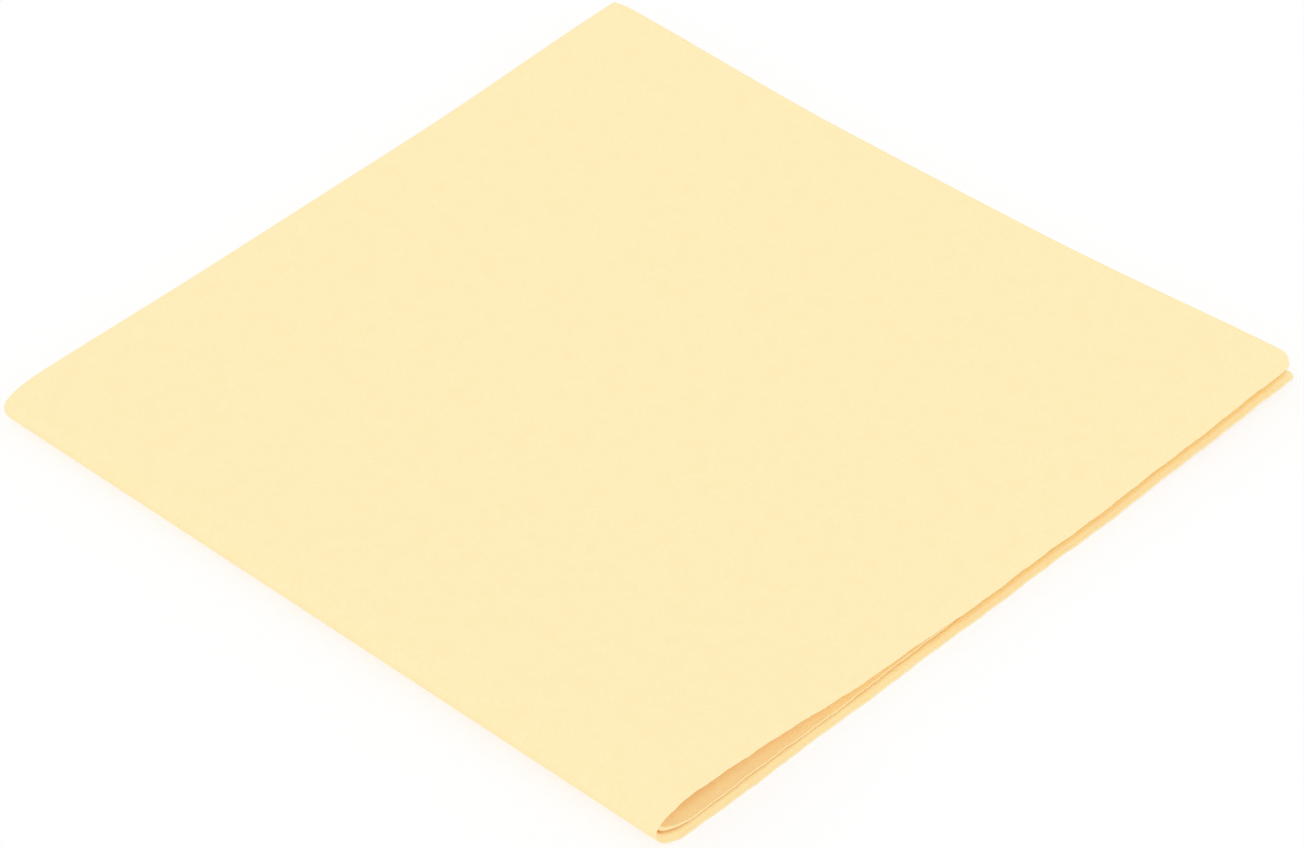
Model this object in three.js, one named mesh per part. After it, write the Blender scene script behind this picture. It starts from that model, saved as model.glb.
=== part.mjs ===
// A window cleaning cloth: one sheet of soft yellow fleece, folded in half twice and lying flat.
// Lengths are in millimetres, +Z is up. The spine, where the last fold turns, runs along Y on the -X side.
// The first fold closes the +Y side, and the cut edges lie on the -Y side (front) and the +X side (far).
// Along the spine the cloth is divided in three: the lower half, the spine's strip and the upper half.
import * as THREE from 'three';

// Folded outline: it is shallower by FAR_SKEW at the back, and its sides flare and bow a little
const SPINE_LENGTH = 196.4;
const FRONT_DEPTH = 201.5;
const FAR_SKEW = 4.1;
const FRONT_FLARE = 0.2;
const BACK_FLARE = 2.3;
const FAR_BOW = 1.3;
const SPINE_SWELL = 3.2;

// Fleece and the gaps between neighbouring plies
const PLY = 1.3;
const GAP = 0.3;

// The spine's bend: it is pressed flat at the back and springs open at the front, where its ends are cut
const FRONT_HEIGHT = 10.4;
const BACK_HEIGHT = 6.8;
const OUTER_NOSE_SHARE = 0.62;
const INNER_NOSE_SHARE = 0.64;
const LOOP_INSET = 2.1;
const FRONT_LOWER_BEND = 11;
const BACK_LOWER_BEND = 5.6;
const FRONT_LOOP_BEND = 14;
const BACK_LOOP_BEND = 5.5;
const FRONT_RIDGE = 11.5;
const BACK_RIDGE = 6;
const POCKET_DEPTH = 70;

// Where the spine's strip begins and ends on the lower and the upper turn
const LOWER_SEAM_DEGREES = 50;
const UPPER_SEAM_DEGREES = 32;
const SEAM_GAP = 0.56;

// The closed side, and its rounded corner at the spine
const SIDE_LEAD = 4;
const CORNER_ROUND = 1.5;
const CORNER_REACH = 14;

// How far each ply's cut front edge stays behind the bottom ply's, near the spine and far from it
const NEAR_TOP_INSET = -0.7;
const FAR_TOP_INSET = -1.4;
const UPPER_INNER_INSET = 1.8;
const NEAR_LOWER_INNER_INSET = 1.2;
const FAR_LOWER_INNER_INSET = 2.2;
const SPREAD_START = 60;
const SPREAD_REACH = 100;

// The loose corners lift a little off what they lie on
const LOWER_CORNER_LIFT = 1.6;
const FRONT_CORNER_LIFT = 1.6;
const BACK_CORNER_LIFT = 1.8;
const LIFT_REACH = 70;

// Look
const FLEECE_COLOUR = '#fce9b4';
const FLEECE_ROUGHNESS = 0.95;

// How finely the curved shapes are divided
const BEND_STEPS = 5;
const SLOPE_STEPS = 7;
const FLAT_STEPS = 7;
const ACROSS_STEPS = 10;
const ROUND_STEPS = 6;

const SPACING = PLY + GAP;
const BOTTOM_Z = PLY / 2;
const LOWER_INNER_Z = BOTTOM_Z + SPACING;
const TOP_Z = LOWER_INNER_Z + 2 * SPACING;

// The two layers of the last fold: the outer one wraps round the inner one
const OUTER = {
  lowZ: BOTTOM_Z,
  drop: 0,
  nose: PLY / 2,
  noseShare: OUTER_NOSE_SHARE,
  frontBend: FRONT_LOWER_BEND,
  backBend: BACK_LOWER_BEND,
  lowInsets: [0, 0],
  highInsets: [NEAR_TOP_INSET, FAR_TOP_INSET],
};
const INNER = {
  lowZ: LOWER_INNER_Z,
  drop: SPACING,
  nose: PLY / 2 + LOOP_INSET,
  noseShare: INNER_NOSE_SHARE,
  frontBend: FRONT_LOOP_BEND,
  backBend: BACK_LOOP_BEND,
  lowInsets: [NEAR_LOWER_INNER_INSET, FAR_LOWER_INNER_INSET],
  highInsets: [UPPER_INNER_INSET, UPPER_INNER_INSET],
};

function mix(from, to, share) {
  return from + (to - from) * share;
}

function smooth(share) {
  const t = Math.min(1, Math.max(0, share));
  return t * t * (3 - 2 * t);
}

function evenSteps(from, to, steps) {
  return Array.from({ length: steps + 1 }, (_, k) => mix(from, to, k / steps));
}

// Height of the top ply's middle along the ridge beside the spine, from the front (0) to the back (1)
function ridgeHeight(along) {
  return Math.max(TOP_Z + GAP, mix(FRONT_HEIGHT, BACK_HEIGHT, along) - PLY / 2);
}

function ridgeDistance(along) {
  return mix(FRONT_RIDGE, BACK_RIDGE, along);
}

// How near a point is to the far side, and to its front and back corners
function cornerShares(u, along) {
  const far = smooth((u - FRONT_DEPTH + LIFT_REACH) / LIFT_REACH);
  const front = smooth(1 - along * SPINE_LENGTH / LIFT_REACH);
  const back = smooth(1 - (1 - along) * SPINE_LENGTH / LIFT_REACH);
  return { front: far * front, back: far * back };
}

// Height of a layer's middle below, u millimetres from the spine
function lowerHeight(layer, u, along) {
  return layer.lowZ + LOWER_CORNER_LIFT * cornerShares(u, along).front;
}

// Height of a layer's middle above, past the ridge
function upperHeight(layer, u, along) {
  const ridge = ridgeDistance(along);
  const fall = smooth((u - ridge) / (POCKET_DEPTH - ridge));
  const near = cornerShares(u, along);
  const lift = FRONT_CORNER_LIFT * near.front + BACK_CORNER_LIFT * near.back;
  return mix(ridgeHeight(along), TOP_Z, fall) + lift - layer.drop;
}

function noseHeight(layer, along) {
  return mix(layer.lowZ, ridgeHeight(along) - layer.drop, layer.noseShare);
}

// A layer's middle on the lower turn: 0 degrees lies flat, 90 degrees is the nose
function lowerTurn(layer, degrees, along) {
  const turn = THREE.MathUtils.degToRad(degrees);
  const bend = mix(layer.frontBend, layer.backBend, along);
  const noseZ = noseHeight(layer, along);
  return {
    u: bend - (bend - layer.nose) * Math.sin(turn),
    z: noseZ - (noseZ - layer.lowZ) * Math.cos(turn),
  };
}

// A layer's middle on the upper turn: 0 degrees is the nose, 90 degrees is the ridge
function upperTurn(layer, degrees, along) {
  const turn = THREE.MathUtils.degToRad(degrees);
  const ridge = ridgeDistance(along);
  const noseZ = noseHeight(layer, along);
  const ridgeZ = ridgeHeight(along) - layer.drop;
  return {
    u: ridge - (ridge - layer.nose) * Math.cos(turn),
    z: noseZ + (ridgeZ - noseZ) * Math.sin(turn),
  };
}

// The degrees that half a seam takes up on each turn, which runs slower where the bend is pressed flat
function lowerSeamHalf(layer, along) {
  const turn = THREE.MathUtils.degToRad(LOWER_SEAM_DEGREES);
  const reach = mix(layer.frontBend, layer.backBend, along) - layer.nose;
  const rise = noseHeight(layer, along) - layer.lowZ;
  const speed = Math.hypot(reach * Math.cos(turn), rise * Math.sin(turn));
  return THREE.MathUtils.radToDeg(SEAM_GAP / 2 / speed);
}

function upperSeamHalf(layer, along) {
  const turn = THREE.MathUtils.degToRad(UPPER_SEAM_DEGREES);
  const reach = ridgeDistance(along) - layer.nose;
  const rise = ridgeHeight(along) - layer.drop - noseHeight(layer, along);
  const speed = Math.hypot(reach * Math.sin(turn), rise * Math.cos(turn));
  return THREE.MathUtils.radToDeg(SEAM_GAP / 2 / speed);
}

// Each row of a division is a function that gives a layer's middle there, from front to back
function lowerRows() {
  const flat = evenSteps(0, 1, FLAT_STEPS + SLOPE_STEPS).slice(0, -1).map((share) => (layer, along) => {
    const bend = mix(layer.frontBend, layer.backBend, along);
    const u = mix(FRONT_DEPTH, bend, share);
    return { u, z: lowerHeight(layer, u, along) };
  });
  const turned = evenSteps(0, 1, BEND_STEPS).map((share) => (layer, along) => {
    const seam = LOWER_SEAM_DEGREES - lowerSeamHalf(layer, along);
    return lowerTurn(layer, mix(0, seam, share), along);
  });
  return [...flat, ...turned];
}

function spineRows() {
  const below = evenSteps(0, 1, BEND_STEPS).map((share) => (layer, along) => {
    const seam = LOWER_SEAM_DEGREES + lowerSeamHalf(layer, along);
    return lowerTurn(layer, mix(seam, 90, share), along);
  });
  const above = evenSteps(0, 1, BEND_STEPS).slice(1).map((share) => (layer, along) => {
    const seam = UPPER_SEAM_DEGREES - upperSeamHalf(layer, along);
    return upperTurn(layer, mix(0, seam, share), along);
  });
  return [...below, ...above];
}

function upperRows() {
  const turned = evenSteps(0, 1, BEND_STEPS).map((share) => (layer, along) => {
    const seam = UPPER_SEAM_DEGREES + upperSeamHalf(layer, along);
    return upperTurn(layer, mix(seam, 90, share), along);
  });
  const sloping = evenSteps(0, 1, SLOPE_STEPS).slice(1).map((share) => (layer, along) => {
    const u = mix(ridgeDistance(along), POCKET_DEPTH, share);
    return { u, z: upperHeight(layer, u, along) };
  });
  const level = evenSteps(POCKET_DEPTH, FRONT_DEPTH, FLAT_STEPS).slice(1).map((u) => (layer, along) => (
    { u, z: upperHeight(layer, u, along) }
  ));
  return [...turned, ...sloping, ...level];
}

// Plan position: the front and back ends of a line at u from the spine, and a point between them
function frontY(u, inset) {
  return -SPINE_LENGTH / 2 - FRONT_FLARE * u / FRONT_DEPTH + inset;
}

function backY(u) {
  const near = Math.max(0, 1 - u / CORNER_REACH);
  return SPINE_LENGTH / 2 + BACK_FLARE * u / FRONT_DEPTH - CORNER_ROUND * near * near;
}

function alongAt(u, y) {
  return (y - frontY(u, 0)) / (backY(u) - frontY(u, 0));
}

function place(u, y, z) {
  const along = alongAt(u, y);
  const far = u / FRONT_DEPTH;
  const bow = FAR_BOW * 4 * along * (1 - along) * far * far;
  const swell = SPINE_SWELL * (1 - along) * (1 - far);
  const x = u * (1 - along * FAR_SKEW / FRONT_DEPTH) - bow - swell - FRONT_DEPTH / 2;
  return new THREE.Vector3(x, y, z);
}

// A closed slab of fleece around a grid of points on its middle surface
function thickSheet(grid, thickness) {
  const rows = grid.length;
  const columns = grid[0].length;
  const positions = [];
  const index = [];
  const normalAt = (i, j) => {
    const before = grid[Math.max(0, i - 1)][j];
    const after = grid[Math.min(rows - 1, i + 1)][j];
    const left = grid[i][Math.max(0, j - 1)];
    const right = grid[i][Math.min(columns - 1, j + 1)];
    const lengthwise = new THREE.Vector3().subVectors(after, before);
    const crosswise = new THREE.Vector3().subVectors(right, left);
    return lengthwise.cross(crosswise).normalize();
  };
  for (const side of [0.5, -0.5]) {
    for (let i = 0; i < rows; i += 1) {
      for (let j = 0; j < columns; j += 1) {
        const point = grid[i][j].clone().addScaledVector(normalAt(i, j), side * thickness);
        positions.push(point.x, point.y, point.z);
      }
    }
  }
  const vertex = (layer, i, j) => layer * rows * columns + i * columns + j;
  const quad = (a, b, c, d) => index.push(a, b, c, a, c, d);
  for (let i = 0; i < rows - 1; i += 1) {
    for (let j = 0; j < columns - 1; j += 1) {
      quad(vertex(0, i, j), vertex(0, i + 1, j), vertex(0, i + 1, j + 1), vertex(0, i, j + 1));
      quad(vertex(1, i, j), vertex(1, i, j + 1), vertex(1, i + 1, j + 1), vertex(1, i + 1, j));
    }
  }
  for (let i = 0; i < rows - 1; i += 1) {
    const last = columns - 1;
    quad(vertex(0, i, 0), vertex(1, i, 0), vertex(1, i + 1, 0), vertex(0, i + 1, 0));
    quad(vertex(0, i, last), vertex(0, i + 1, last), vertex(1, i + 1, last), vertex(1, i, last));
  }
  for (let j = 0; j < columns - 1; j += 1) {
    const last = rows - 1;
    quad(vertex(0, 0, j), vertex(0, 0, j + 1), vertex(1, 0, j + 1), vertex(1, 0, j));
    quad(vertex(0, last, j), vertex(1, last, j), vertex(1, last, j + 1), vertex(0, last, j + 1));
  }
  const geometry = new THREE.BufferGeometry();
  geometry.setAttribute('position', new THREE.Float32BufferAttribute(positions, 3));
  geometry.setIndex(index);
  geometry.computeVertexNormals();
  return geometry;
}

// How far a layer's front edge stays back: below at u from the spine, round the spine, and above
function lowInset(layer, u) {
  const [near, far] = layer.lowInsets;
  return mix(near, far, smooth((u - SPREAD_START) / SPREAD_REACH));
}

function highInset(layer, u) {
  const [near, far] = layer.highInsets;
  return mix(near, far, smooth((u - SPREAD_START) / SPREAD_REACH));
}

function spineInset(layer, u) {
  return (lowInset(layer, u) + highInset(layer, u)) / 2;
}

// One layer of a division, from its cut front edge to the closed side's strip
function plySheet(rows, layer, inset) {
  const grid = rows.map((row) => evenSteps(0, 1, ACROSS_STEPS).map((share) => {
    const guess = row(layer, share);
    const front = frontY(guess.u, inset(layer, guess.u));
    const y = mix(front, backY(guess.u) - SIDE_LEAD - GAP, share);
    const point = row(layer, alongAt(guess.u, y));
    return place(point.u, y, point.z);
  }));
  return thickSheet(grid, PLY);
}

// The strip that joins a division's two layers on the closed side: two short legs and a half round
function closedStrip(rows) {
  const grid = rows.map((row) => {
    const outer = row(OUTER, 1);
    const inner = row(INNER, 1);
    const legEnd = (ply) => place(ply.u, backY(ply.u) - SIDE_LEAD, ply.z);
    const from = place(outer.u, backY(outer.u), outer.z);
    const to = place(inner.u, backY(inner.u), inner.z);
    const centre = new THREE.Vector3().addVectors(from, to).multiplyScalar(0.5);
    const reach = new THREE.Vector3().subVectors(from, to).multiplyScalar(0.5);
    const round = evenSteps(0, Math.PI, ROUND_STEPS).map((turn) => {
      const point = centre.clone().addScaledVector(reach, Math.cos(turn));
      point.y += reach.length() * Math.sin(turn);
      return point;
    });
    return [legEnd(outer), ...round, legEnd(inner)];
  });
  return thickSheet(grid, PLY);
}

const pieces = {
  bottom_panel: plySheet(lowerRows(), OUTER, lowInset),
  lower_inner_panel: plySheet(lowerRows(), INNER, lowInset),
  lower_side_fold: closedStrip(lowerRows()),
  outer_spine_fold: plySheet(spineRows(), OUTER, spineInset),
  inner_spine_fold: plySheet(spineRows(), INNER, spineInset),
  corner_fold: closedStrip(spineRows()),
  top_panel: plySheet(upperRows(), OUTER, highInset),
  upper_inner_panel: plySheet(upperRows(), INNER, highInset),
  upper_side_fold: closedStrip(upperRows()),
};

const cloth = new THREE.Group();
cloth.name = 'window_cleaning_cloth';
for (const [name, geometry] of Object.entries(pieces)) {
  const fleece = new THREE.MeshStandardMaterial({
    color: FLEECE_COLOUR,
    roughness: FLEECE_ROUGHNESS,
    metalness: 0,
  });
  const mesh = new THREE.Mesh(geometry, fleece);
  mesh.name = name;
  cloth.add(mesh);
}

// The origin is the middle of the footprint, on the floor
const box = new THREE.Box3().setFromObject(cloth);
const middle = box.getCenter(new THREE.Vector3());
for (const mesh of cloth.children) {
  mesh.geometry.translate(-middle.x, -middle.y, -box.min.z);
}

export default cloth;
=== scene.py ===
"""A window cleaning cloth: one sheet of soft yellow fleece, folded in half twice, on a white floor.

Sizes are in millimetres here and become metres as the meshes are made. The cloth is one grid of points:
its rows run from the lower half's far edge round the spine to the upper half's far edge, and its columns
run from the outer ply's cut front edge round the closed side to the inner ply's cut front edge.
"""
import math
from types import SimpleNamespace

import bpy
import numpy as np
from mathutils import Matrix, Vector


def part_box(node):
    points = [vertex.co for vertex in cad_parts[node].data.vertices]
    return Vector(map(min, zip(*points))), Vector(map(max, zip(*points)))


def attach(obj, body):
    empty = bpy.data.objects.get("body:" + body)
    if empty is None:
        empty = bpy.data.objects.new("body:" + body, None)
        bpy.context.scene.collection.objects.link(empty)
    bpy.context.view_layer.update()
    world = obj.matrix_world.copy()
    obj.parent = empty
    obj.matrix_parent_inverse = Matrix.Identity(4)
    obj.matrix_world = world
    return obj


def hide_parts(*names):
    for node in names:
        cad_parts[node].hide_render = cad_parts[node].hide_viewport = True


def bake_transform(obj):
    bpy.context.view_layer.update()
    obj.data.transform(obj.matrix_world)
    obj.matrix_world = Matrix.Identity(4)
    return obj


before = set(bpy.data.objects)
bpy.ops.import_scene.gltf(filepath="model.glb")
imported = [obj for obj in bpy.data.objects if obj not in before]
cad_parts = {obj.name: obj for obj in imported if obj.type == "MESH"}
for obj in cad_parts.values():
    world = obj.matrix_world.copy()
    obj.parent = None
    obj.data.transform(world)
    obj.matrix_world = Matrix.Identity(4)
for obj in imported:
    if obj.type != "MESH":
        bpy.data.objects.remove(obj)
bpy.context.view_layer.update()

MM = 0.001
TINY = 1e-12

# Folded outline: it is shallower by FAR_SKEW at the back, and its sides flare and bow a little
SPINE_LENGTH = 196.4
FRONT_DEPTH = 201.5
FAR_SKEW = 4.1
FRONT_FLARE = 0.2
BACK_FLARE = 2.3
FAR_BOW = 1.3
SPINE_SWELL = 3.2

# Fleece and the gaps between neighbouring plies
PLY = 1.3
GAP = 0.3

# The spine's bend: it is pressed flat at the back and springs open at the front, where its ends are cut
FRONT_HEIGHT = 10.4
BACK_HEIGHT = 6.8
OUTER_NOSE_SHARE = 0.62
INNER_NOSE_SHARE = 0.64
LOOP_INSET = 2.1
FRONT_LOWER_BEND = 11.0
BACK_LOWER_BEND = 5.6
FRONT_LOOP_BEND = 14.0
BACK_LOOP_BEND = 5.5
FRONT_RIDGE = 11.5
BACK_RIDGE = 6.0
POCKET_DEPTH = 70.0

# The closed side's rounded corner at the spine
CORNER_ROUND = 1.5
CORNER_REACH = 14.0

# How far each ply's cut front edge stays behind the bottom ply's, near the spine and far from it
NEAR_TOP_INSET = -0.15
FAR_TOP_INSET = -0.35
UPPER_INNER_INSET = 2.4
NEAR_LOWER_INNER_INSET = 1.4
FAR_LOWER_INNER_INSET = 2.2
SPREAD_START = 58.0
SPREAD_REACH = 46.0

# The loose corners are rounded at the front and drawn in a little at the back
TOP_CORNER_ROUND = 3.8
CORNER_SOFTENING = 0.5
CORNER_POWER = 1.5
FAR_CORNER_DRAW = 0.6
FAR_CORNER_REACH = 5.0

# The loose corners lift a little off what they lie on
LOWER_CORNER_LIFT = 1.6
FRONT_CORNER_LIFT = 1.6
BACK_CORNER_LIFT = 1.8
LIFT_REACH = 70.0

# Far from the spine the top ply's front edge hangs down a little over the plies that stay behind it
TOP_DROOP = 1.0
DROOP_REACH = 5.0

# The cut edges are rounded, and waver along their length: wavelength and depth of each wave
EDGE_ROUND = 0.3
EDGE_WAVES = ((37.0, 0.10), (11.0, 0.07), (4.3, 0.05))
OUTER_WAVE_START = 0.0
INNER_WAVE_START = 2.1
WAVE_REACH = SPINE_LENGTH / 12

# Along its front the outer ply is cut slanting, except where it lies on the table
SLANT_REACH = 1.6
SLANT_TIP_SHARE = 0.15

# The two lower plies thin softly towards their cut front, on their upper sides
BOTTOM_TAPER_REACH = 1.1
BOTTOM_TAPER_TIP_SHARE = 0.65
INNER_TAPER_REACH = 4.0
INNER_TAPER_TIP_SHARE = 0.45

# Inside the inner loop's nose the fleece is pressed together: shares that are lost, and reach in stations
FRONT_NOSE_PRESS = 0.5
BACK_NOSE_PRESS = 0.86
NOSE_PRESS_REACH = 0.4
NOSE_PRESS_POWER = 3

# How finely the sheet is divided: lengths of its cells, and counts round its bends
FLAT_CELL = 1.8
ACROSS_CELL = 2.0
EDGE_STEPS = np.array([0.0, 0.1, 0.3, 0.6, 0.95, 1.4, 2.0, 3.0, 4.5])
LOWER_LEAD_ROWS = 3
LOWER_TURN_ROWS = 24
UPPER_TURN_ROWS = 36
ROUND_COLUMNS = 12
RIM_STEPS = 6

# Where the sheet is divided into pieces: lengths of flat cloth that go with the pieces round the spine
LOWER_LEAD = 6.0
UPPER_LEAD = 5.0

# Where each half of the spine's bend begins and ends its turn: distance from the spine, and height
LOWER_TURN_START = (8.6, 0.1)
LOWER_TURN_END = (4.5, 4.2)
UPPER_TURN_START = (3.4, 5.5)
UPPER_TURN_END = (8.0, 8.4)

# The fleece's look: colours in display values from 0 to 255, and noise scales per metre
DEEP_MOTTLE = (255, 237, 184)
PALE_MOTTLE = (255, 242, 195)
MOTTLE_SCALE = 240
MOTTLE_DETAIL = 3
FIBRE_SCALE = 1500
FIBRE_DETAIL = 4
FIBRE_DISTORTION = 1.5
FIBRE_ROUGHNESS = (0.88, 1.0)
FIBRE_BUMP = 0.35
FIBRE_DEPTH = 0.15
STRAND_COLOUR = (255, 226, 158)
STRAND_RANGE = (0.35, 0.65)
STRAND_SHARE = 0.3
SPECULAR_LEVEL = 0.1
SHEEN_WEIGHT = 0.08
SHEEN_ROUGHNESS = 0.6

# Floor: how far it reaches, and how much of what is seen of it is plain white
FLOOR_REACH = 3000.0
FLOOR_ROUGHNESS = 0.9
FLOOR_WHITE = 0.75

# Light: an even white surround, and a broad key light; together they light the floor at a level of 1
WHITE = (1.0, 1.0, 1.0, 1.0)
WORLD_LEVEL = 0.96
KEY_DIRECTION = Vector((-0.5, -0.45, 1.0))
KEY_SPREAD = 70
LIGHT_BOUNCES = 48

# Camera
IMAGE_WIDTH = 1304
FOCAL_PIXELS = 6000
SENSOR_WIDTH = 36.0
CAMERA_AZIMUTH = -47.04
CAMERA_ELEVATION = 39.594
CAMERA_DISTANCE = 1297.724
CAMERA_TARGET = (-6.002, -8.531, 3.0)

SPACING = PLY + GAP
HALF_PLY = PLY / 2
BOTTOM_Z = HALF_PLY
LOWER_INNER_Z = BOTTOM_Z + SPACING
TOP_Z = LOWER_INNER_Z + 2 * SPACING

# The two layers of the last fold: the outer one wraps round the inner one
OUTER = SimpleNamespace(
    low_z=BOTTOM_Z,
    drop=0.0,
    nose=HALF_PLY,
    nose_share=OUTER_NOSE_SHARE,
    front_bend=FRONT_LOWER_BEND,
    back_bend=BACK_LOWER_BEND,
    low_insets=(0.0, 0.0),
    high_insets=(NEAR_TOP_INSET, FAR_TOP_INSET),
    top_corner=TOP_CORNER_ROUND,
    droop=TOP_DROOP,
    wave_start=OUTER_WAVE_START,
)
INNER = SimpleNamespace(
    low_z=LOWER_INNER_Z,
    drop=SPACING,
    nose=HALF_PLY + LOOP_INSET,
    nose_share=INNER_NOSE_SHARE,
    front_bend=FRONT_LOOP_BEND,
    back_bend=BACK_LOOP_BEND,
    low_insets=(NEAR_LOWER_INNER_INSET, FAR_LOWER_INNER_INSET),
    high_insets=(UPPER_INNER_INSET, UPPER_INNER_INSET),
    top_corner=CORNER_SOFTENING,
    droop=0.0,
    wave_start=INNER_WAVE_START,
)


def mix(start, stop, share):
    return start + (stop - start) * share


def smooth(share):
    t = np.clip(share, 0.0, 1.0)
    return t * t * (3 - 2 * t)


def unit(vectors):
    return vectors / np.maximum(np.linalg.norm(vectors, axis=-1, keepdims=True), TINY)


def linear(colour):
    """A colour that is written in display values from 0 to 255, as linear light."""
    shares = [value / 255 for value in colour]
    return tuple(s / 12.92 if s < 0.04045 else ((s + 0.055) / 1.055) ** 2.4 for s in shares) + (1.0,)


# The folded shape: u is the distance from the spine, along runs from the cut front (0) to the back (1)
def ridge_height(along):
    return np.maximum(TOP_Z + GAP, mix(FRONT_HEIGHT, BACK_HEIGHT, along) - HALF_PLY)


def ridge_distance(along):
    return mix(FRONT_RIDGE, BACK_RIDGE, along)


def corner_shares(u, along):
    """How near a point is to the loose corners at the front and at the back."""
    far = smooth((u - FRONT_DEPTH + LIFT_REACH) / LIFT_REACH)
    front = smooth(1 - along * SPINE_LENGTH / LIFT_REACH)
    back = smooth(1 - (1 - along) * SPINE_LENGTH / LIFT_REACH)
    return far * front, far * back


def section(layer, station, along):
    """A layer's middle as u and z.

    Stations 0 to 1 lie flat below, 1 to 3 go round the spine, and 3 to 5 lie above.
    """
    bend = mix(layer.front_bend, layer.back_bend, along)
    ridge = ridge_distance(along)
    ridge_z = ridge_height(along)
    nose_z = mix(layer.low_z, ridge_z - layer.drop, layer.nose_share)
    lower_turn = np.radians(90 * (station - 1))
    upper_turn = np.radians(90 * (station - 2))
    parts = [station < 1, station < 2, station < 3, station < 4]
    u = np.select(
        parts,
        [
            mix(FRONT_DEPTH, bend, station),
            bend - (bend - layer.nose) * np.sin(lower_turn),
            ridge - (ridge - layer.nose) * np.cos(upper_turn),
            mix(ridge, POCKET_DEPTH, station - 3),
        ],
        mix(POCKET_DEPTH, FRONT_DEPTH, station - 4),
    )
    front_corner, back_corner = corner_shares(u, along)
    fall = smooth((u - ridge) / (POCKET_DEPTH - ridge))
    lift = FRONT_CORNER_LIFT * front_corner + BACK_CORNER_LIFT * back_corner
    z = np.select(
        parts[:3],
        [
            layer.low_z + LOWER_CORNER_LIFT * front_corner,
            nose_z - (nose_z - layer.low_z) * np.cos(lower_turn),
            nose_z + (ridge_z - layer.drop - nose_z) * np.sin(upper_turn),
        ],
        mix(ridge_z, TOP_Z, fall) + lift - layer.drop,
    )
    return u, z


def front_y(u):
    return -SPINE_LENGTH / 2 - FRONT_FLARE * u / FRONT_DEPTH


def back_y(u):
    near = np.maximum(0.0, 1 - u / CORNER_REACH)
    return SPINE_LENGTH / 2 + BACK_FLARE * u / FRONT_DEPTH - CORNER_ROUND * near * near


def along_at(u, y):
    return (y - front_y(u)) / (back_y(u) - front_y(u))


def place(u, y, z):
    """Points of the folded shape as x, y and z, with the outline's skew, bow and swell."""
    along = along_at(u, y)
    far = u / FRONT_DEPTH
    bow = FAR_BOW * 4 * along * (1 - along) * far * far
    swell = SPINE_SWELL * (1 - along) * (1 - far)
    x = u * (1 - along * FAR_SKEW / FRONT_DEPTH) - bow - swell - FRONT_DEPTH / 2
    return np.stack([x, y, z], axis=-1)


def waver(length, start):
    """How far a cut edge strays from its line, at a length along it."""
    stray = 0.0
    for k, (wave, depth) in enumerate(EDGE_WAVES, 1):
        stray = stray + depth * np.sin(2 * np.pi * length / wave + start * k)
    return stray


# The sheet's rows are stations of the section, finer near the cut edges
flat_rows = round(FRONT_DEPTH / FLAT_CELL)
slope_rows = round(POCKET_DEPTH / FLAT_CELL)
level_rows = flat_rows - slope_rows
low_edge = EDGE_STEPS / FRONT_DEPTH
high_edge = 5 - EDGE_STEPS[::-1] / (FRONT_DEPTH - POCKET_DEPTH)
lower_lead_share = 1 - LOWER_LEAD / FRONT_DEPTH
stations = np.concatenate([
    low_edge,
    np.linspace(low_edge[-1], lower_lead_share, flat_rows)[1:],
    np.linspace(lower_lead_share, 1, LOWER_LEAD_ROWS + 1)[1:-1],
    np.linspace(1, 2, LOWER_TURN_ROWS + 1),
    np.linspace(2, 3, UPPER_TURN_ROWS + 1)[1:],
    np.linspace(3, 4, slope_rows + 1)[1:],
    np.linspace(4, high_edge[0], level_rows)[1:],
    high_edge[1:],
])

# Its columns are shares of the way from a ply's cut front to the closed side
front_edge = EDGE_STEPS / SPINE_LENGTH
across_columns = round(SPINE_LENGTH / ACROSS_CELL)
shares = np.concatenate([front_edge, np.linspace(front_edge[-1], 1, across_columns)[1:]])

# The rows where it is divided into pieces
upper_lead_station = 3 + UPPER_LEAD / (POCKET_DEPTH - BACK_RIDGE)
lower_seam = int(np.argmin(np.abs(stations - lower_lead_share)))
nose_seam = int(np.argmin(np.abs(stations - 2)))
upper_seam = int(np.argmin(np.abs(stations - upper_lead_station)))


def rounded_corner(u, y, edge, radius):
    """Draws the points near a loose corner in, so that its two edges meet in a round."""
    from_far = np.maximum(0.0, radius - (FRONT_DEPTH - u))
    from_front = np.maximum(0.0, radius - (y - edge))
    reach = (from_far ** CORNER_POWER + from_front ** CORNER_POWER) ** (1 / CORNER_POWER)
    drawn = np.maximum(from_far, from_front) / np.maximum(reach, TINY)
    inside = (from_far > 0) & (from_front > 0)
    u = np.where(inside, FRONT_DEPTH - radius + from_far * drawn, u)
    y = np.where(inside, edge + radius - from_front * drawn, y)
    return u, y


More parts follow.
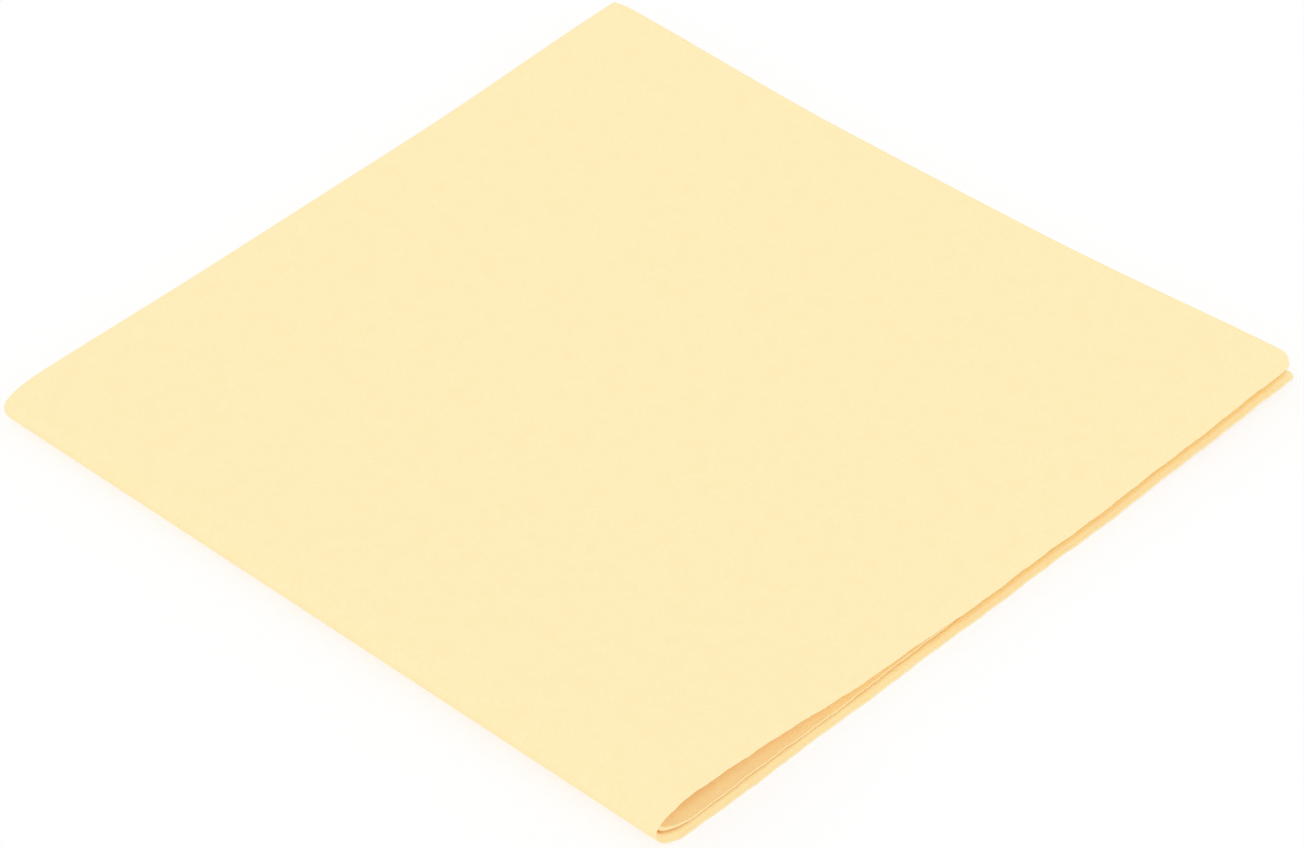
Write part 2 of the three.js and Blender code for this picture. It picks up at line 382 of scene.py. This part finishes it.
def ply_points(layer):
    """A layer's middle surface as rows of points from its cut front edge to the closed side."""
    station = stations[:, None]
    share = shares[None, :]
    u, _ = section(layer, station, share)
    spread = smooth((u - SPREAD_START) / SPREAD_REACH)
    low_inset = mix(*layer.low_insets, spread)
    high_inset = mix(*layer.high_insets, spread)
    inset = mix(low_inset, high_inset, smooth((station - 1) / 2))
    stray = waver(u, layer.wave_start + (station > 2))
    stray_share = np.maximum(0.0, 1 - share * SPINE_LENGTH / WAVE_REACH)
    edge = front_y(u) + inset + stray * stray_share
    y = mix(edge, back_y(u), share)
    u, z = section(layer, station, along_at(u, y))

    near_edge = np.maximum(0.0, 1 - (y - edge) / DROOP_REACH)
    z = z - layer.droop * spread * (station > 3) * near_edge ** 2

    radius = np.where(station > 2, layer.top_corner, CORNER_SOFTENING)
    u, y = rounded_corner(u, y, edge, radius)
    near_far = np.maximum(0.0, 1 - (FRONT_DEPTH - u) / FAR_CORNER_REACH)
    near_back = np.maximum(0.0, 1 - (back_y(u) - y) / FAR_CORNER_REACH)
    u = u - FAR_CORNER_DRAW * (near_far * near_back) ** 2
    return place(u, y, z)


def closed_side(outer_end, inner_end):
    """The half round that joins the ends of the two layers on the closed side."""
    turn = np.linspace(0, np.pi, ROUND_COLUMNS + 1)[1:-1][None, :, None]
    centre = ((outer_end + inner_end) / 2)[:, None, :]
    reach = ((outer_end - inner_end) / 2)[:, None, :]
    points = centre + reach * np.cos(turn)
    points[:, :, 1] += (np.linalg.norm(reach, axis=-1, keepdims=True) * np.sin(turn))[:, :, 0]
    return points


outer_ply = ply_points(OUTER)
inner_ply = ply_points(INNER)
side_round = closed_side(outer_ply[:, -1], inner_ply[:, -1])
middle = np.concatenate([outer_ply, side_round, inner_ply[:, ::-1]], axis=1)
row_count, column_count = middle.shape[:2]

# The drawing is set down in the frame on the bottom ply: its far side and its cut front edge
bottom_low, bottom_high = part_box("bottom_panel")
shift_x = bottom_high.x - FRONT_DEPTH / 2 * MM
shift_y = bottom_low.y - front_y(FRONT_DEPTH) * MM
shift = np.array([shift_x, shift_y, 0.0])
middle = middle * MM + shift


def face_normals(grid):
    """The normals at a grid's points: the mean of its cells' normals, weighed by their areas."""
    cells = np.cross(grid[1:, 1:] - grid[:-1, :-1], grid[:-1, 1:] - grid[1:, :-1])
    total = np.zeros_like(grid)
    total[:-1, :-1] += cells
    total[1:, :-1] += cells
    total[:-1, 1:] += cells
    total[1:, 1:] += cells
    return unit(total)


def thinned(tip_share, reach_share):
    """How far a face lies off the middle, in shares of half a ply, where a tip keeps a share of the ply."""
    return mix(2 * tip_share - 1, 1.0, reach_share)


# The sheet's two faces lie half a ply off its middle, and nearer where the fleece is cut or pressed thin
front_distance = shares * SPINE_LENGTH
slant = thinned(SLANT_TIP_SHARE, np.minimum(front_distance / SLANT_REACH, 1.0))
bottom_taper = thinned(BOTTOM_TAPER_TIP_SHARE, smooth(front_distance / BOTTOM_TAPER_REACH))
inner_taper = thinned(INNER_TAPER_TIP_SHARE, smooth(front_distance / INNER_TAPER_REACH))
rising = smooth(stations - 1)[:, None]
inner_share = np.ones((row_count, column_count))
inner_share[:, :shares.size] = mix(bottom_taper, slant, rising)
outer_share = np.ones((row_count, column_count))
outer_share[:, -shares.size:] = mix(inner_taper[::-1], 1.0, rising)
round_share = np.linspace(0, 1, ROUND_COLUMNS + 1)[1:-1]
press = np.concatenate([
    np.zeros(shares.size),
    BACK_NOSE_PRESS * round_share ** NOSE_PRESS_POWER,
    mix(FRONT_NOSE_PRESS, BACK_NOSE_PRESS, shares[::-1]),
])
at_nose = 1 - smooth(np.abs(stations - 2) / NOSE_PRESS_REACH)
outer_share *= 1 - press[None, :] * at_nose[:, None]

outward = face_normals(middle)
outer_face = middle + outward * (HALF_PLY * MM) * outer_share[:, :, None]
inner_face = middle - outward * (HALF_PLY * MM) * inner_share[:, :, None]
outer_normals = face_normals(outer_face)
inner_normals = -face_normals(inner_face)
lengthwise = unit(np.gradient(middle, axis=0))
crosswise = unit(np.gradient(middle, axis=1))


def lengths_along(points):
    """The length of a line of points from its start to each of them."""
    steps = np.linalg.norm(np.diff(points, axis=0), axis=1)
    return np.concatenate([[0], np.cumsum(steps)])


# Where each row and column lies on the flat cloth, in metres
row_place = lengths_along(middle[:, shares.size // 2])
column_place = lengths_along(middle[flat_rows // 2])


def boundary(rows, columns):
    """The grid's outline as a loop of (row, column), counter-clockwise as seen from the outer face."""
    last_row = rows - 1
    last_column = columns - 1
    down = [(i, 0) for i in range(last_row)]
    right = [(last_row, j) for j in range(last_column)]
    up = [(i, last_column) for i in range(last_row, 0, -1)]
    left = [(0, j) for j in range(last_column, 0, -1)]
    return np.array(down + right + up + left)


def rim_directions(i, j, first, last):
    """The directions away from the sheet along its outline: zero at a seam, where the rim stays flat."""
    last_row = last - first
    last_column = column_count - 1
    away = np.zeros((len(i), 3))
    if first == 0:
        away[i == 0] -= lengthwise[0, j[i == 0]]
    if last == row_count - 1:
        away[i == last_row] += lengthwise[last, j[i == last_row]]
    away[j == 0] -= crosswise[first + i[j == 0], 0]
    away[j == last_column] += crosswise[first + i[j == last_column], last_column]
    return unit(away)


def cloth_piece(name, first, last, material):
    """A closed, rounded-edged sheet of fleece made from the grid's rows first to last."""
    top = outer_face[first:last + 1]
    under = inner_face[first:last + 1]
    rows, columns = top.shape[:2]
    count = rows * columns

    # Points: the two sides of the sheet, then the rim, which bulges along the cut edges
    ring = boundary(rows, columns)
    i, j = ring[:, 0], ring[:, 1]
    away = rim_directions(i, j, first, last)
    centre = (top[i, j] + under[i, j]) / 2
    reach = (top[i, j] - under[i, j]) / 2
    bulge = away * EDGE_ROUND * 2 / PLY * np.linalg.norm(reach, axis=1, keepdims=True)
    angles = np.linspace(math.pi / 2, -math.pi / 2, RIM_STEPS + 1)[1:-1]
    rim_points = [centre + reach * math.sin(a) + bulge * math.cos(a) for a in angles]
    rim_normals = [unit(reach) * math.sin(a) + away * math.cos(a) for a in angles]
    points = np.concatenate([top.reshape(-1, 3), under.reshape(-1, 3), *rim_points])
    normals = np.concatenate([
        outer_normals[first:last + 1].reshape(-1, 3),
        inner_normals[first:last + 1].reshape(-1, 3),
        *rim_normals,
    ])

    # Faces: the two sides of the sheet, then the rim between them
    index = np.arange(count).reshape(rows, columns)
    corners = [index[:-1, :-1], index[1:, :-1], index[1:, 1:], index[:-1, 1:]]
    outer_quads = np.stack(corners, axis=-1).reshape(-1, 4)
    inner_quads = outer_quads[:, ::-1] + count
    ring_index = index[i, j]
    levels = [ring_index]
    levels += [2 * count + k * len(ring) + np.arange(len(ring)) for k in range(RIM_STEPS - 1)]
    levels += [ring_index + count]
    rim_quads = [
        np.stack([above, below, np.roll(below, -1), np.roll(above, -1)], axis=-1)
        for above, below in zip(levels[:-1], levels[1:])
    ]
    faces = np.concatenate([outer_quads, inner_quads, *rim_quads])

    # Smooth normals, but flat ones where the rim is a seam
    loop_normals = normals[faces.ravel()].reshape(-1, 4, 3)
    cut = away.any(axis=1)
    seam = ~(cut & np.roll(cut, -1))
    flat = np.concatenate([np.zeros(2 * len(outer_quads), bool), *([seam] * RIM_STEPS)])
    flat_corners = points[faces[flat]]
    diagonal = flat_corners[:, 2] - flat_corners[:, 0]
    other_diagonal = flat_corners[:, 3] - flat_corners[:, 1]
    loop_normals[flat] = unit(np.cross(diagonal, other_diagonal))[:, None, :]
    mesh = bpy.data.meshes.new(name)
    mesh.from_pydata(points.tolist(), [], faces.tolist())
    mesh.normals_split_custom_set(loop_normals.reshape(-1, 3).tolist())

    # Each point's place on the flat cloth, for the material
    side_places = np.zeros((rows, columns, 3))
    side_places[:, :, 0] = row_place[first:last + 1, None]
    side_places[:, :, 1] = column_place[None, :]
    places = np.concatenate([side_places.reshape(-1, 3)] * 2 + [side_places[i, j]] * len(angles))
    depth = [np.ones(count), -np.ones(count)]
    depth += [np.full(len(ring), math.sin(a)) for a in angles]
    places[:, 2] = np.concatenate(depth) * (HALF_PLY * MM)
    attribute = mesh.attributes.new("flat_place", "FLOAT_VECTOR", "POINT")
    attribute.data.foreach_set("vector", places.astype(np.float32).ravel())
    mesh.materials.append(material)

    piece = bpy.data.objects.new(name, mesh)
    bpy.context.scene.collection.objects.link(piece)
    return piece


def fleece_material():
    """Soft nonwoven fleece: pale yellow, faintly mottled, with matted fibres."""
    material = bpy.data.materials.new("yellow_fleece")
    material.use_nodes = True
    nodes = material.node_tree.nodes
    links = material.node_tree.links
    shader = nodes["Principled BSDF"]
    shader.inputs["Specular IOR Level"].default_value = SPECULAR_LEVEL
    shader.inputs["Sheen Weight"].default_value = SHEEN_WEIGHT
    shader.inputs["Sheen Roughness"].default_value = SHEEN_ROUGHNESS
    flat_place = nodes.new("ShaderNodeAttribute")
    flat_place.attribute_name = "flat_place"

    # A soft mottle of two yellows
    mottle = nodes.new("ShaderNodeTexNoise")
    mottle.inputs["Scale"].default_value = MOTTLE_SCALE
    mottle.inputs["Detail"].default_value = MOTTLE_DETAIL
    links.new(flat_place.outputs["Vector"], mottle.inputs["Vector"])
    mottle_colour = nodes.new("ShaderNodeMix")
    mottle_colour.data_type = "RGBA"
    mottle_colour.inputs["A"].default_value = linear(DEEP_MOTTLE)
    mottle_colour.inputs["B"].default_value = linear(PALE_MOTTLE)
    links.new(mottle.outputs["Fac"], mottle_colour.inputs["Factor"])

    # Matted fibres: some of them are deeper in colour, and they change the roughness and stand up a little
    fibres = nodes.new("ShaderNodeTexNoise")
    fibres.inputs["Scale"].default_value = FIBRE_SCALE
    fibres.inputs["Detail"].default_value = FIBRE_DETAIL
    fibres.inputs["Distortion"].default_value = FIBRE_DISTORTION
    links.new(flat_place.outputs["Vector"], fibres.inputs["Vector"])
    strand_share = nodes.new("ShaderNodeMapRange")
    strand_share.inputs["From Min"].default_value = STRAND_RANGE[0]
    strand_share.inputs["From Max"].default_value = STRAND_RANGE[1]
    strand_share.inputs["To Max"].default_value = STRAND_SHARE
    links.new(fibres.outputs["Fac"], strand_share.inputs["Value"])
    strand_colour = nodes.new("ShaderNodeMix")
    strand_colour.data_type = "RGBA"
    strand_colour.inputs["B"].default_value = linear(STRAND_COLOUR)
    links.new(strand_share.outputs["Result"], strand_colour.inputs["Factor"])
    links.new(mottle_colour.outputs["Result"], strand_colour.inputs["A"])
    links.new(strand_colour.outputs["Result"], shader.inputs["Base Color"])

    roughness = nodes.new("ShaderNodeMapRange")
    roughness.inputs["To Min"].default_value = FIBRE_ROUGHNESS[0]
    roughness.inputs["To Max"].default_value = FIBRE_ROUGHNESS[1]
    links.new(fibres.outputs["Fac"], roughness.inputs["Value"])
    links.new(roughness.outputs["Result"], shader.inputs["Roughness"])
    bump = nodes.new("ShaderNodeBump")
    bump.inputs["Strength"].default_value = FIBRE_BUMP
    bump.inputs["Distance"].default_value = FIBRE_DEPTH * MM
    links.new(fibres.outputs["Fac"], bump.inputs["Height"])
    links.new(bump.outputs["Normal"], shader.inputs["Normal"])
    return material


fleece = fleece_material()
far_row = row_count - 1
lower_cloth = cloth_piece("lower_cloth", 0, lower_seam, fleece)
lower_turn_cloth = cloth_piece("lower_turn_cloth", lower_seam, nose_seam, fleece)
upper_turn_cloth = cloth_piece("upper_turn_cloth", nose_seam, upper_seam, fleece)
upper_cloth = cloth_piece("upper_cloth", upper_seam, far_row, fleece)

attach(lower_cloth, "lower_half")
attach(upper_cloth, "upper_half")
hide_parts("bottom_panel", "lower_inner_panel", "lower_side_fold")
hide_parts("top_panel", "upper_inner_panel", "upper_side_fold")
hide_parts("outer_spine_fold", "inner_spine_fold", "corner_fold")
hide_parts("outer_spine_fold", "inner_spine_fold", "corner_fold")


def spine_point(u, y, z):
    return place(np.array(u), np.array(y), np.array(z)) * MM + shift


def bend_zone(start, end):
    """Two points halfway along the spine, between which the cloth turns square to the spine."""
    spine = spine_point(0.0, SPINE_LENGTH / 2, 0.0) - spine_point(0.0, -SPINE_LENGTH / 2, 0.0)
    first = spine_point(start[0], 0.0, start[1])
    step = spine_point(end[0], 0.0, end[1]) - first
    step -= spine * (step @ spine) / (spine @ spine)
    return tuple(first), tuple(first + step)


# Each half of the bend: its turn zone is worked out, and its piece is baked where it stands
bend_zone(LOWER_TURN_START, LOWER_TURN_END)
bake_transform(lower_turn_cloth)
bend_zone(UPPER_TURN_START, UPPER_TURN_END)
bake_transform(upper_turn_cloth)


def white_floor():
    mesh = bpy.data.meshes.new("floor")
    size = FLOOR_REACH * MM
    corners = [(-size, -size, 0), (size, -size, 0), (size, size, 0), (-size, size, 0)]
    mesh.from_pydata(corners, [], [(0, 1, 2, 3)])
    floor = bpy.data.objects.new("floor", mesh)
    bpy.context.scene.collection.objects.link(floor)
    material = bpy.data.materials.new("white_floor")
    material.use_nodes = True
    nodes = material.node_tree.nodes
    links = material.node_tree.links
    shader = nodes["Principled BSDF"]
    shader.inputs["Base Color"].default_value = WHITE
    shader.inputs["Roughness"].default_value = FLOOR_ROUGHNESS
    shader.inputs["Specular IOR Level"].default_value = 0.0

    # Seen directly, in a gloss or through glass, the floor is white and keeps a faint shadow
    path = nodes.new("ShaderNodeLightPath")
    seen = path.outputs["Is Camera Ray"]
    for ray in ("Is Glossy Ray", "Is Transmission Ray"):
        either = nodes.new("ShaderNodeMath")
        either.operation = "MAXIMUM"
        links.new(seen, either.inputs[0])
        links.new(path.outputs[ray], either.inputs[1])
        seen = either.outputs["Value"]
    white_share = nodes.new("ShaderNodeMath")
    white_share.operation = "MULTIPLY"
    white_share.inputs[1].default_value = FLOOR_WHITE
    links.new(seen, white_share.inputs[0])
    glow = nodes.new("ShaderNodeEmission")
    glow.inputs["Strength"].default_value = 1.0
    mixed = nodes.new("ShaderNodeMixShader")
    links.new(white_share.outputs["Value"], mixed.inputs["Fac"])
    links.new(shader.outputs["BSDF"], mixed.inputs[1])
    links.new(glow.outputs["Emission"], mixed.inputs[2])
    links.new(mixed.outputs["Shader"], nodes["Material Output"].inputs["Surface"])
    mesh.materials.append(material)


def soft_light():
    world = bpy.data.worlds.new("studio")
    world.use_nodes = True
    background = world.node_tree.nodes["Background"]
    background.inputs["Color"].default_value = WHITE
    background.inputs["Strength"].default_value = WORLD_LEVEL
    bpy.context.scene.world = world
    lamp = bpy.data.lights.new("soft_key", "SUN")
    lamp.angle = math.radians(KEY_SPREAD)
    lamp.energy = (1 - WORLD_LEVEL) * math.pi / KEY_DIRECTION.normalized().z
    light = bpy.data.objects.new("soft_key", lamp)
    light.rotation_euler = (-KEY_DIRECTION).to_track_quat("-Z", "Y").to_euler()
    bpy.context.scene.collection.objects.link(light)

    # The pocket's deep colour comes from light that goes to and fro between the plies many times
    bpy.context.scene.cycles.max_bounces = LIGHT_BOUNCES
    bpy.context.scene.cycles.diffuse_bounces = LIGHT_BOUNCES


def photo_camera():
    azimuth = math.radians(CAMERA_AZIMUTH)
    elevation = math.radians(CAMERA_ELEVATION)
    back = Vector((
        math.sin(azimuth) * math.cos(elevation),
        -math.cos(azimuth) * math.cos(elevation),
        math.sin(elevation),
    ))
    data = bpy.data.cameras.new("camera")
    data.sensor_width = SENSOR_WIDTH
    data.lens = FOCAL_PIXELS * SENSOR_WIDTH / IMAGE_WIDTH
    camera = bpy.data.objects.new("camera", data)
    camera.location = Vector(CAMERA_TARGET) * MM + back * CAMERA_DISTANCE * MM
    camera.rotation_euler = (-back).to_track_quat("-Z", "Y").to_euler()
    bpy.context.scene.collection.objects.link(camera)
    bpy.context.scene.camera = camera


white_floor()
soft_light()
photo_camera()
bpy.context.scene.view_settings.view_transform = "Standard"
